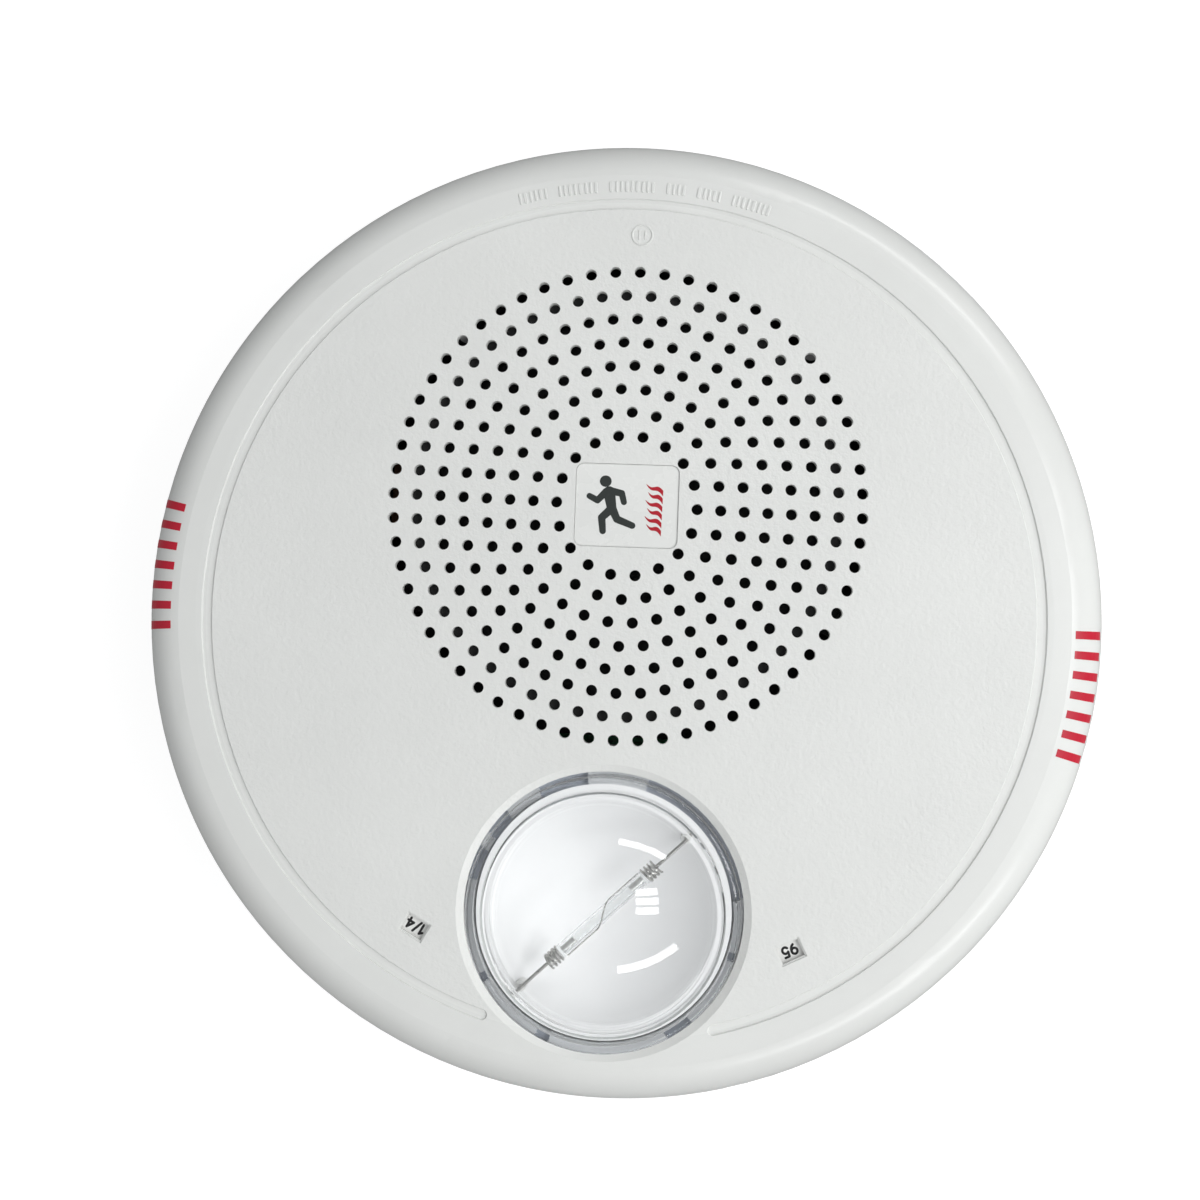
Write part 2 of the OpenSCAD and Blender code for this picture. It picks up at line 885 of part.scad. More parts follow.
cover();
pictogram_plate();
chassis();
speaker_basket();
speaker_gasket();
speaker_screws();
magnet_ring();
front_pole_plate();
back_plate_and_pole();
paper_cone();
cone_surround();
spider();
dust_cap();
coil_former();
voice_coil();
terminal_strip();
terminal_lugs();
tinsel_leads();
transformer_core();
transformer_bobbin();
transformer_winding();
transformer_bracket();
transformer_screws();
secondary_wires();
primary_wires();
circuit_board();
board_screws();
board_chips();
board_resistors();
flash_capacitor();
capacitor_sleeve();
trigger_transformer();
inductor_core();
inductor_winding();
power_transistor();
blocking_capacitor();
audio_terminal_block();
strobe_terminal_block();
terminal_screws();
wire_header();
strobe_housing();
reflector();
flash_tube();
tube_electrodes();
tube_leads();
trigger_wire();
tube_grommets();
lens_gasket();
strobe_lens();
candela_switch();
tap_switch();
candela_dial();
tap_dial();
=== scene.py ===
import json
import math

import bmesh
import bpy
from mathutils import Matrix, Vector
from mathutils.bvhtree import BVHTree


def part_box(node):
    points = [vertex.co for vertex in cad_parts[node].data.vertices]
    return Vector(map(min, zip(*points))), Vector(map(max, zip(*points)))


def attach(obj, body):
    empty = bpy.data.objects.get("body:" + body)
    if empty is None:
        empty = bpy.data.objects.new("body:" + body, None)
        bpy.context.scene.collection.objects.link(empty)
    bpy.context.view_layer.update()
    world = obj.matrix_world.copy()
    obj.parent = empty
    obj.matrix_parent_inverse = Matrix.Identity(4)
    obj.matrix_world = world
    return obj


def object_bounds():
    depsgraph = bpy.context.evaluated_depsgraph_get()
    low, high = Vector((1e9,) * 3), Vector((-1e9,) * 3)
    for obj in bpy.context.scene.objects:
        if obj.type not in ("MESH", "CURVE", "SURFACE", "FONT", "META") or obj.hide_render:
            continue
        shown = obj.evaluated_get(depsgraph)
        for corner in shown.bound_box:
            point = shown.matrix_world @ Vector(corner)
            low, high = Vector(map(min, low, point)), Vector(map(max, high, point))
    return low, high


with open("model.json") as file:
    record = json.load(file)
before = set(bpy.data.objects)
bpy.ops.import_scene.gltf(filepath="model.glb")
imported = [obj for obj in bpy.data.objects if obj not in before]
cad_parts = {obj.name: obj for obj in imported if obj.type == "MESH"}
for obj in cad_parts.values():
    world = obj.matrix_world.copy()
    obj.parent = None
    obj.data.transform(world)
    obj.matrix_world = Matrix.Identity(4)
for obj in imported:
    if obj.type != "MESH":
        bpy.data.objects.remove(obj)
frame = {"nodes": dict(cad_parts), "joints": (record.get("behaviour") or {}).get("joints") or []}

CAD_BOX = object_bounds()
MM = 0.001
NODES = frame["nodes"]
UP = Vector((0, 0, 1))


# ---------- places, all taken from the frame ----------

def middle(node):
    """Centre of a CAD node's box."""
    low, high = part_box(node)
    return (Vector(low) + Vector(high)) / 2


def top(node):
    """Height of a CAD node's highest point."""
    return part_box(node)[1][2]


def joint(name):
    """The record's entry for a joint."""
    return next(j for j in frame["joints"] if j["name"] == name)


COVER_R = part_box("cover")[1][0]
FACE_Z = top("cover")
STROBE = middle("strobe_lens")
PLATE_TOP = top("pictogram_plate")
DIAL_TOP = top("candela_dial")


def tree_of(node):
    """Search tree of a CAD node's surface, for placing marks on it."""
    mesh = NODES[node].data
    return BVHTree.FromPolygons([v.co for v in mesh.vertices], [p.vertices for p in mesh.polygons])


COVER_TREE = tree_of("cover")


# ---------- meshes ----------

# An edge flatter than this is shaded smooth
SMOOTH_ANGLE = math.radians(35)


def new_object(name, mesh, body):
    """Links a mesh as a piece of the object that rides on a body."""
    piece = bpy.data.objects.new(name, mesh)
    bpy.context.scene.collection.objects.link(piece)
    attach(piece, body)
    return piece


def mesh_from(name, verts, faces):
    """A mesh with its normals outwards, smooth apart from its sharp edges."""
    work = bmesh.new()
    made = [work.verts.new(v) for v in verts]
    for face in faces:
        work.faces.new([made[i] for i in face])
    bmesh.ops.recalc_face_normals(work, faces=work.faces)
    for edge in work.edges:
        edge.smooth = edge.calc_face_angle(0) < SMOOTH_ANGLE
    for face in work.faces:
        face.smooth = True
    mesh = bpy.data.meshes.new(name)
    work.to_mesh(mesh)
    work.free()
    return mesh


def lathe(profile, steps=128):
    """Points and faces of a closed profile of (radius, height) turned about the Z axis."""
    count = len(profile)
    verts = []
    for i in range(steps):
        a = math.tau * i / steps
        verts += [Vector((r * math.cos(a), r * math.sin(a), z)) for r, z in profile]
    faces = []
    for i in range(steps):
        j = (i + 1) % steps
        for k in range(count):
            m = (k + 1) % count
            faces.append((i * count + k, i * count + m, j * count + m, j * count + k))
    return verts, faces


def moved(verts, offset):
    """The points, shifted by offset."""
    return [v + Vector(offset) for v in verts]


def prism(outline, low, high):
    """Points and faces of a flat outline of (x, y) raised from low to high."""
    count = len(outline)
    verts = [Vector((x, y, low)) for x, y in outline] + [Vector((x, y, high)) for x, y in outline]
    faces = [tuple(range(count - 1, -1, -1)), tuple(range(count, 2 * count))]
    faces += [(i, (i + 1) % count, (i + 1) % count + count, i + count) for i in range(count)]
    return verts, faces


def joined(parts):
    """One list of points and faces from several."""
    verts, faces = [], []
    for part_verts, part_faces in parts:
        start = len(verts)
        verts += part_verts
        faces += [tuple(i + start for i in face) for face in part_faces]
    return verts, faces


# ---------- materials ----------

def socket_name(key):
    """A Principled socket's name from a plain word, such as coat_weight."""
    return "IOR" if key == "ior" else key.replace("_", " ").title()


class Nodes:
    """A short way to build a node material round one Principled shader."""

    def __init__(self, name):
        self.material = bpy.data.materials.new(name)
        self.material.use_nodes = True
        self.tree = self.material.node_tree
        self.shader = self.tree.nodes["Principled BSDF"]
        self.place = self.add("ShaderNodeTexCoord").outputs["Object"]

    def add(self, kind, **values):
        """A new node with its properties and its unlinked inputs set."""
        node = self.tree.nodes.new(kind)
        for key, value in values.items():
            if hasattr(node, key):
                setattr(node, key, value)
            else:
                node.inputs[key.replace("_", " ").title()].default_value = value
        return node

    def link(self, source, target):
        """Joins an output to an input."""
        self.tree.links.new(source, target)

    def set(self, **values):
        """Constant values on the shader's own sockets."""
        for key, value in values.items():
            self.shader.inputs[socket_name(key)].default_value = value

    def noise(self, scale, detail=3.0, roughness=0.5, source=None):
        """Noise in object space; scale is in features per metre."""
        node = self.add("ShaderNodeTexNoise", scale=scale, detail=detail, roughness=roughness)
        self.link(source or self.place, node.inputs["Vector"])
        return node.outputs["Fac"]

    def stretched(self, x, y, z):
        """Object coordinates scaled along each axis."""
        node = self.add("ShaderNodeMapping")
        node.inputs["Scale"].default_value = (x, y, z)
        self.link(self.place, node.inputs["Vector"])
        return node.outputs["Vector"]

    def ramp(self, source, low, high, start=0.0, end=1.0):
        """Colours or greys between low and high as source goes from start to end."""
        node = self.add("ShaderNodeValToRGB")
        first, last = node.color_ramp.elements
        first.position, last.position = start, end
        first.color, last.color = (*low, 1), (*high, 1)
        self.link(source, node.inputs["Fac"])
        return node.outputs["Color"]

    def span(self, source, low, high, start=0.0, end=1.0):
        """A number between low and high as source goes from start to end."""
        node = self.add("ShaderNodeMapRange")
        pairs = (("From Min", start), ("From Max", end), ("To Min", low), ("To Max", high))
        for key, value in pairs:
            node.inputs[key].default_value = value
        self.link(source, node.inputs["Value"])
        return node.outputs["Result"]

    def math(self, operation, *sources):
        """A Math node's result from sockets or plain numbers."""
        node = self.add("ShaderNodeMath")
        node.operation = operation
        for socket, source in zip(node.inputs, sources):
            if isinstance(source, (int, float)):
                socket.default_value = source
            else:
                self.link(source, socket)
        return node.outputs["Value"]

    def bump(self, height, strength, distance):
        """Bump from a height socket; distance is in metres."""
        node = self.add("ShaderNodeBump")
        node.inputs["Strength"].default_value = strength
        node.inputs["Distance"].default_value = distance
        self.link(height, node.inputs["Height"])
        self.link(node.outputs["Normal"], self.shader.inputs["Normal"])

    def radius_from(self, centre):
        """Distance of a point from an upright axis through centre."""
        shift = self.add("ShaderNodeVectorMath")
        shift.operation = "SUBTRACT"
        shift.inputs[1].default_value = (centre[0], centre[1], 0)
        self.link(self.place, shift.inputs[0])
        flat = self.add("ShaderNodeVectorMath")
        flat.operation = "MULTIPLY"
        flat.inputs[1].default_value = (1, 1, 0)
        self.link(shift.outputs["Vector"], flat.inputs[0])
        length = self.add("ShaderNodeVectorMath")
        length.operation = "LENGTH"
        self.link(flat.outputs["Vector"], length.inputs[0])
        return length.outputs["Value"]


def shade(colour, factor):
    """A colour made lighter or darker."""
    return tuple(min(1.0, c * factor) for c in colour)


def plastic(name, colour, roughness=0.4, grain=2600, depth=0.00002, variation=0.04, coat=0.0):
    """Moulded plastic: fine grain, slight colour drift and uneven gloss."""
    m = Nodes(name)
    drift = m.noise(38, 4)
    m.link(m.ramp(drift, shade(colour, 1 - variation), shade(colour, 1 + variation), 0.3, 0.7),
           m.shader.inputs["Base Color"])
    m.link(m.span(m.noise(300, 3), roughness - 0.05, roughness + 0.07, 0.3, 0.7),
           m.shader.inputs["Roughness"])
    m.bump(m.noise(grain, 2), 0.5, depth)
    m.set(ior=1.5, coat_weight=coat)
    return m.material


def metal(name, colour, roughness=0.3, brushed=(1, 1, 1), depth=0.00001, metallic=1.0):
    """Bare or plated metal with brushing stretched along an axis."""
    m = Nodes(name)
    lines = m.noise(900, 5, 0.6, m.stretched(*brushed))
    m.link(m.ramp(lines, shade(colour, 0.82), shade(colour, 1.08), 0.3, 0.7),
           m.shader.inputs["Base Color"])
    m.link(m.span(lines, roughness - 0.08, roughness + 0.12, 0.3, 0.7),
           m.shader.inputs["Roughness"])
    m.bump(lines, 0.3, depth)
    m.set(metallic=metallic)
    return m.material


def clear(name, colour, ior, roughness=0.0, haze=60):
    """Clear plastic or glass with faint waves from moulding, which lets the lamps through."""
    m = Nodes(name)
    waves = m.noise(haze, 2)
    m.link(m.ramp(waves, shade(colour, 0.99), colour, 0.3, 0.7), m.shader.inputs["Base Color"])
    m.bump(waves, 0.06, 0.0002)
    m.set(ior=ior, transmission_weight=1.0, roughness=roughness)
    rays = m.add("ShaderNodeLightPath").outputs
    through = m.math("MAXIMUM", rays["Is Shadow Ray"], rays["Is Diffuse Ray"])
    open_air = m.add("ShaderNodeBsdfTransparent")
    mix = m.add("ShaderNodeMixShader")
    m.link(through, mix.inputs["Fac"])
    m.link(m.shader.outputs["BSDF"], mix.inputs[1])
    m.link(open_air.outputs["BSDF"], mix.inputs[2])
    output = next(n for n in m.tree.nodes if n.type == "OUTPUT_MATERIAL")
    m.link(mix.outputs["Shader"], output.inputs["Surface"])
    return m.material


# The wave texture turns by this angle over a metre at a scale of 1
WAVE_TURN = 20


def wound_wire(name, colour, pitch, axis):
    """Enamelled wire wound in rows: ridges a pitch apart, in metres, along the winding's axis."""
    m = Nodes(name)
    rows = m.add("ShaderNodeTexWave")
    rows.bands_direction = axis
    rows.inputs["Scale"].default_value = math.tau / WAVE_TURN / pitch
    rows.inputs["Distortion"].default_value = 0.6
    m.link(m.place, rows.inputs["Vector"])
    # The troughs between the rows are coloured darker: painted shade between the turns of wire
    m.link(m.ramp(rows.outputs["Fac"], shade(colour, 0.35), colour, 0.1, 0.7),
           m.shader.inputs["Base Color"])
    m.bump(rows.outputs["Fac"], 0.8, 0.0002)
    m.set(metallic=0.75, roughness=0.32, coat_weight=0.4)
    return m.material


def cover_material():
    """White moulding: grained inside the channel, smooth and glossy outside it."""
    m = Nodes("cover_white")
    colour = (0.775, 0.785, 0.765)
    radius = m.radius_from((0, 0))
    grained = m.span(radius, 1, 0, 94.5 * MM, 96.5 * MM)
    drift = m.noise(30, 5, 0.6)
    m.link(m.ramp(drift, shade(colour, 0.975), shade(colour, 1.02), 0.3, 0.7),
           m.shader.inputs["Base Color"])
    leather = m.math("MULTIPLY", m.span(m.noise(900, 4, 0.55), 0, 1, 0.36, 0.64), grained)
    m.link(m.span(grained, 0.25, 0.42), m.shader.inputs["Roughness"])
    faint = m.math("ADD", leather, m.math("MULTIPLY", m.noise(120, 2), 0.15))
    m.bump(faint, 0.55, 0.00009)
    m.set(ior=1.5)
    return m.material


# ---------- CAD nodes' materials ----------

def paint(material, *names):
    """Gives CAD nodes a material."""
    for name in names:
        if not NODES[name].material_slots:
            NODES[name].data.materials.append(material)
        for slot in NODES[name].material_slots:
            slot.material = material


def paint_frame():
    """Every CAD node's own material."""
    paint(cover_material(), "cover")
    paint(plastic("pad_white", (0.8, 0.81, 0.79), 0.25, 400, 0.00001), "pictogram_plate")
    # The chassis is coloured near black as painted shade, so the grille holes over it stay dark
    paint(plastic("chassis_shade_black", (0.05, 0.05, 0.053), 0.42, 1600, 0.00004, 0.1), "chassis")
    paint(plastic("housing_white", (0.82, 0.83, 0.83), 0.3), "strobe_housing")
    paint(metal("basket_black", (0.03, 0.03, 0.032), 0.45, metallic=0.2), "speaker_basket")
    paint(plastic("foam_black", (0.02, 0.02, 0.021), 0.9, 1500, 0.0002), "speaker_gasket",
          "lens_gasket")
    zinc = metal("zinc_plate", (0.72, 0.72, 0.74), 0.28, (1, 1, 6))
    paint(metal("black_oxide", (0.02, 0.02, 0.021), 0.6, metallic=0.3), "speaker_screws")
    paint(zinc, "front_pole_plate", "back_plate_and_pole", "transformer_bracket",
          "transformer_screws", "board_screws", "terminal_screws")
    paint(plastic("ferrite_grey", (0.05, 0.05, 0.055), 0.55, 3200, 0.00003), "magnet_ring",
          "inductor_core")
    paint(plastic("cone_pulp", (0.05, 0.05, 0.05), 0.85, 1400, 0.0002, 0.2), "paper_cone",
          "dust_cap")
    paint(plastic("surround_cloth", (0.025, 0.025, 0.027), 0.8, 2400, 0.0001), "cone_surround")
    paint(plastic("spider_cloth", (0.52, 0.34, 0.1), 0.75, 2000, 0.0002, 0.15), "spider")
    paint(plastic("former_amber", (0.5, 0.22, 0.05), 0.25), "coil_former")
    paint(wound_wire("coil_copper", (0.75, 0.32, 0.14), 0.0006, "Z"), "voice_coil",
          "inductor_winding")
    paint(wound_wire("layer_copper", (0.7, 0.3, 0.12), 0.001, "Y"), "transformer_winding")
    paint(metal("tinsel", (0.75, 0.42, 0.22), 0.35), "tinsel_leads")
    paint(plastic("phenolic_brown", (0.2, 0.09, 0.04), 0.5, 900, 0.00005, 0.2), "terminal_strip")
    paint(metal("tinned_brass", (0.7, 0.62, 0.42), 0.3), "terminal_lugs")
    paint(metal("laminations", (0.2, 0.2, 0.21), 0.5, (0.2, 0.2, 14), 0.0001, 0.7),
          "transformer_core")
    paint(plastic("nylon", (0.74, 0.7, 0.58), 0.45), "transformer_bobbin", "wire_header")
    paint(plastic("wire_black", (0.02, 0.02, 0.02), 0.4), "secondary_wires")
    paint(plastic("wire_red", (0.45, 0.02, 0.02), 0.4), "primary_wires")
    paint(board_material(), "circuit_board")
    paint(plastic("chip_epoxy", (0.02, 0.02, 0.022), 0.5), "board_chips", "power_transistor")
    bands = ((0.16, 0.24, (0.16, 0.05, 0.02)), (0.34, 0.42, (0.02, 0.02, 0.02)),
             (0.52, 0.6, (0.5, 0.02, 0.02)), (0.78, 0.84, (0.6, 0.4, 0.1)))
    paint(banded("resistor_tan", "board_resistors", bands, (0.62, 0.46, 0.26)), "board_resistors")
    paint(metal("can_aluminium", (0.78, 0.78, 0.8), 0.3), "flash_capacitor")
    stripe = ((0.58, 0.74, (0.5, 0.52, 0.56)),)
    paint(banded("sleeve_blue", "capacitor_sleeve", stripe, (0.02, 0.03, 0.12)), "capacitor_sleeve")
    paint(plastic("tape_yellow", (0.68, 0.5, 0.06), 0.35, 500, 0.00004, 0.1), "trigger_transformer")
    paint(plastic("film_red", (0.4, 0.03, 0.02), 0.25, 500, 0.00004, 0.1, 0.3),
          "blocking_capacitor")
    paint(plastic("terminal_green", (0.03, 0.25, 0.12), 0.4), "audio_terminal_block",
          "strobe_terminal_block")
    paint(plastic("switch_blue", (0.03, 0.1, 0.34), 0.4), "candela_switch", "tap_switch")
    paint(plastic("dial_white", (0.86, 0.86, 0.84), 0.4), "candela_dial", "tap_dial")
    paint(plastic("reflector_white", (0.95, 0.95, 0.95), 0.55, 300, 0.00001, 0.01), "reflector")
    paint(clear("tube_glass", (0.97, 0.98, 0.98), 1.46), "flash_tube")
    paint(metal("nickel", (0.5, 0.49, 0.47), 0.3), "tube_leads", "trigger_wire")
    paint(metal("bright_nickel", (0.82, 0.81, 0.79), 0.35), "tube_electrodes")
    paint(plastic("silicone_white", (0.8, 0.8, 0.78), 0.6), "tube_grommets")
    paint(clear("lens_clear", (0.97, 0.985, 0.99), 1.586), "strobe_lens")


# ---------- printed and embossed marks on the cover ----------

# Radius of the cover's rounded edge, its centre in a section, and half a print's thickness
SHOULDER = 10 * MM
SHOULDER_AT = (COVER_R - 11.43 * MM, FACE_Z - 10.1 * MM)
PRINT = 0.05 * MM
RED_PRINT = plastic("red_print", (0.56, 0.006, 0.03), 0.35, 1200, 0.00001, 0.05)
DEEP_RED = plastic("flame_red", (0.44, 0.006, 0.02), 0.4, 1200, 0.00001, 0.05)
DARK_PRINT = plastic("dark_print", (0.024, 0.03, 0.027), 0.4, 1200, 0.00001, 0.1)
BLACK_PRINT = plastic("black_print", (0.012, 0.012, 0.013), 0.4, 1200, 0.00001, 0.1)


def drop(tree, x, y, z=1.0):
    """Point and normal where a line straight down from z first meets a surface."""
    point, normal, _, _ = tree.ray_cast(Vector((x, y, z)), -UP)
    return point, normal


def on_shoulder(angle, tilt):
    """Point and normal on the cover's rounded edge; tilt 0 is its side and 90 degrees its top."""
    outwards = Vector((math.cos(angle), math.sin(angle), 0))
    centre = outwards * SHOULDER_AT[0] + UP * SHOULDER_AT[1]
    away = outwards * math.cos(tilt) + UP * math.sin(tilt)
    point, normal, _, _ = COVER_TREE.ray_cast(centre + away * 3 * SHOULDER, -away)
    return point, away


def shoulder_bar(start, end, low_tilt, high_tilt):
    """A thin printed bar that follows the rounded edge between two angles."""
    across, along = 3, 24
    layers = []
    for lift in (-PRINT, PRINT):
        for i in range(across + 1):
            for k in range(along + 1):
                angle = start + (end - start) * i / across
                tilt = low_tilt + (high_tilt - low_tilt) * k / along
                point, away = on_shoulder(angle, tilt)
                layers.append(point + away * lift)
    row = along + 1
    layer = row * (across + 1)
    faces = []
    for i in range(across):
        for k in range(along):
            a = i * row + k
            faces.append((a, a + 1, a + row + 1, a + row))
            faces.append((a + layer, a + layer + row, a + layer + row + 1, a + layer + 1))
    rim = [(k, k + 1) for k in range(along)]
    rim += [(across * row + k + 1, across * row + k) for k in range(along)]
    rim += [(i * row + along, (i + 1) * row + along) for i in range(across)]
    rim += [((i + 1) * row, i * row) for i in range(across)]
    faces += [(a, a + layer, b + layer, b) for a, b in rim]
    return layers, faces


def rim_bars(name, middle_angle, low_tilt, high_tilt, count=7):
    """Plain red bars side by side on the cover's rounded edge."""
    width, gap = math.radians(1.0), math.radians(1.5)
    span = count * width + (count - 1) * gap
    tilts = math.radians(low_tilt), math.radians(high_tilt)
    parts = []
    for i in range(count):
        start = math.radians(middle_angle) - span / 2 + i * (width + gap)
        parts.append(shoulder_bar(start, start + width, *tilts))
    piece = new_object(name, mesh_from(name, *joined(parts)), "cover")
    piece.data.materials.append(RED_PRINT)


def pill(length, width, height, steps=8):
    """A raised bar with round ends and a slightly smaller top, lying along X."""
    rings = [(0.0, -height), (0.0, height * 0.5), (height * 0.4, height)]
    verts, faces = [], []
    for inset, z in rings:
        verts += [Vector((x, y, z)) for x, y in capsule(length, width, inset, steps)]
    count = len(verts) // len(rings)
    for layer in range(len(rings) - 1):
        for i in range(count):
            j = (i + 1) % count
            a = layer * count
            faces.append((a + i, a + j, a + count + j, a + count + i))
    faces.append(tuple(range(count - 1, -1, -1)))
    faces.append(tuple(range((len(rings) - 1) * count, len(rings) * count)))
    return verts, faces


def capsule(length, width, inset=0.0, steps=8):
    """Outline of a bar with round ends along X, its edge moved in by inset."""
    radius = width / 2 - inset
    reach = (length - width) / 2
    right = [(reach + radius * math.sin(a), -radius * math.cos(a)) for a in arc(steps)]
    left = [(-reach - radius * math.sin(a), radius * math.cos(a)) for a in arc(steps)]
    return right + left


def arc(steps):
    """Angles over half a turn."""
    return [math.pi * k / steps for k in range(steps + 1)]


def laid(verts, x, y, turn):
    """The points turned about Z and set on the cover's face at x, y, tipped to its slope."""
    point, normal = drop(COVER_TREE, x, y)
    tip = UP.rotation_difference(normal).to_matrix()
    spin = Matrix.Rotation(turn, 3, "Z")
    return [point + tip @ (spin @ v) for v in verts]


def rim_dashes():
    """A row of thin raised bars along the top of the rim, in uneven groups."""
    radius, height, gap, space = 0.884 * COVER_R, 2.6 * MM, 0.6 * MM, 1.6 * MM
    widths = (0.5, 0.8, 0.55, 0.5, 0.7)
    row = []
    for count in (6, 8, 9, 4, 5, 8):
        row += [widths[(len(row) + i) % 5] * MM for i in range(count)] + [None]
    row.pop()
    total = sum(gap + (width or space) for width in row) - gap
    angle = math.pi / 2 + total / radius / 2
    parts = []
    for width in row:
        if width:
            a = angle - width / 2 / radius
            verts, faces = pill(height, width, 0.2 * MM)
            parts.append((laid(verts, radius * math.cos(a), radius * math.sin(a), a), faces))
        angle -= ((width or space) + gap) / radius
    mesh = mesh_from("rim_dashes", *joined(parts))
    piece = new_object("rim_dashes", mesh, "cover")
    piece.data.materials.append(NODES["cover"].active_material)


def round_emboss():
    """A small raised ring with two short bars in it, on the face above the grille."""
    radius, width, height = 2.5 * MM, 0.4 * MM, 0.2 * MM
    profile = [(radius - width, -height), (radius, -height), (radius, height * 0.5),
               (radius - 0.1 * MM, height), (radius - width + 0.1 * MM, height),
               (radius - width, height * 0.5)]
    y = 0.785 * COVER_R
    verts, faces = lathe(profile, 64)
    parts = [(laid(verts, 0, y, 0), faces)]
    for x in (-0.7 * MM, 0.7 * MM):
        verts, faces = pill(2.2 * MM, 0.5 * MM, height)
        parts.append((laid(verts, x, y, math.pi / 2), faces))
    mesh = mesh_from("round_emboss", *joined(parts))
    piece = new_object("round_emboss", mesh, "cover")
    piece.data.materials.append(NODES["cover"].active_material)


# ---------- pictogram ----------

def limb(a, b, width_a, width_b, low, high, steps=8):
    """A flat tapered bar with round ends from a to b, in millimetres."""
    along = Vector(b) - Vector(a)
    turn = math.atan2(along.y, along.x)
    ends = []
    for centre, width, start in ((a, width_a, 90), (b, width_b, -90)):
        for k in range(steps + 1):
            angle = turn + math.radians(start + 180 * k / steps)
            x = centre[0] + width / 2 * math.cos(angle)
            y = centre[1] + width / 2 * math.sin(angle)
            ends.append((x * MM, y * MM))
    return prism(ends, low, high)


def running_figure():
    """A plain figure running to the left, as on evacuation signs, in the plate's own frame."""
    strokes = [
        ((-5.1, 5.4), (-5.2, 5.4), 2.3, 2.3),
        ((-4.2, 2.9), (-3.4, -0.9), 2.4, 1.9),
        ((-4.9, 3.0), (-6.8, 0.9), 1.5, 1.3),
        ((-6.8, 0.9), (-8.7, 1.8), 1.3, 1.2),
        ((-3.9, 3.2), (-1.3, 2.8), 1.6, 1.3),
        ((-1.3, 2.8), (-0.7, 0.8), 1.3, 1.2),
        ((-3.6, -1.0), (-5.6, -3.0), 1.7, 1.5),
        ((-5.6, -3.0), (-5.2, -6.1), 1.5, 1.3),
        ((-3.2, -1.0), (-2.1, -3.2), 1.7, 1.5),
        ((-2.1, -3.2), (1.5, -4.5), 1.5, 1.3),
    ]
    parts = []
    for i, (a, b, width_a, width_b) in enumerate(strokes):
        step = (0.02 + 0.002 * i) * MM
        parts.append(limb(a, b, 1.15 * width_a, 1.15 * width_b, -PRINT, step))
    return joined(parts)


def flames():
    """Six short wavy tongues one above the other, beside the figure."""
    count, steps = 6, 16
    parts = []
    for i in range(count):
        base_y = -6.0 + 1.85 * i
        upper, lower = [], []
        for k in range(steps + 1):
            s = k / steps
            x = 8.2 - (3.5 + 0.5 * (i % 2)) * s
            y = base_y + 2.0 * s + 0.4 * math.sin(math.tau * s)
            half = 0.62 * (1 - s) ** 0.6 + 0.03
            upper.append((x * MM, (y + half) * MM))
            lower.append((x * MM, (y - half) * MM))
        parts.append(prism(lower + upper[::-1], -PRINT, 0.025 * MM))
    return joined(parts)


def pictogram():
    """The printed figure and flames on the plate that is sunk into the cover."""
    centre = middle("pictogram_plate")
    offset = Vector((centre.x, centre.y, PLATE_TOP))
    for name, shape, material in (("pictogram_figure", running_figure, DARK_PRINT),
                                  ("pictogram_flames", flames, DEEP_RED)):
        verts, faces = shape()
        piece = new_object(name, mesh_from(name, moved(verts, offset), faces), "cover")
        piece.data.materials.append(material)


# ---------- dials ----------

# Where the values stand on a dial, and how far the windows are turned
LABEL_R = 7.8 * MM
WINDOW_TILT = math.radians(28)


def bow(x, y, reach_x, reach_y, start, end, steps=10):
    """Points along part of an ellipse round x, y, from start to end degrees."""
    turns = [math.radians(start + (end - start) * k / steps) for k in range(steps + 1)]
    return [(x + reach_x * math.cos(a), y + reach_y * math.sin(a)) for a in turns]


# Width and strokes of each character a dial needs, one unit high
CHARACTERS = {
    "0": (0.6, [bow(0.3, 0.5, 0.3, 0.5, 0, 360, 18)]),
    "1": (0.3, [[(0.0, 0.76), (0.26, 1.0), (0.26, 0.0)]]),
    "2": (0.6, [bow(0.3, 0.71, 0.28, 0.29, 165, -35) + [(0.0, 0.0), (0.6, 0.0)]]),
    "3": (0.58, [bow(0.27, 0.75, 0.26, 0.25, 150, -90), bow(0.28, 0.26, 0.3, 0.26, 90, -150)]),
    "4": (0.62, [[(0.46, 0.0), (0.46, 1.0), (0.0, 0.32), (0.64, 0.32)]]),
    "5": (0.6, [[(0.54, 1.0), (0.12, 1.0), (0.06, 0.52)] + bow(0.28, 0.32, 0.3, 0.32, 130, -150)]),
    "7": (0.6, [[(0.0, 1.0), (0.6, 1.0), (0.2, 0.0)]]),
    "9": (0.6, [bow(0.3, 0.7, 0.29, 0.3, 0, 360, 14), bow(0.02, 0.7, 0.57, 0.7, 0, -70, 8)]),
    "/": (0.42, [[(0.0, -0.06), (0.42, 1.06)]]),
}


def value_mesh(words, height, stroke=0.56):
    """Points and faces of a short printed value, its strokes in millimetres, about the origin."""
    gap = 0.26
    reach = sum(CHARACTERS[c][0] for c in words) + gap * (len(words) - 1)
    x, parts = -reach / 2, []
    for c in words:
        width, strokes = CHARACTERS[c]
        for points in strokes:
            spots = [((x + px) * height, (py - 0.5) * height) for px, py in points]
            for a, b in zip(spots, spots[1:]):
                level = (0.02 + 0.0004 * len(parts)) * MM
                parts.append(limb(a, b, stroke, stroke, -0.03 * MM, level, 6))
        x += width + gap
    return joined(parts)


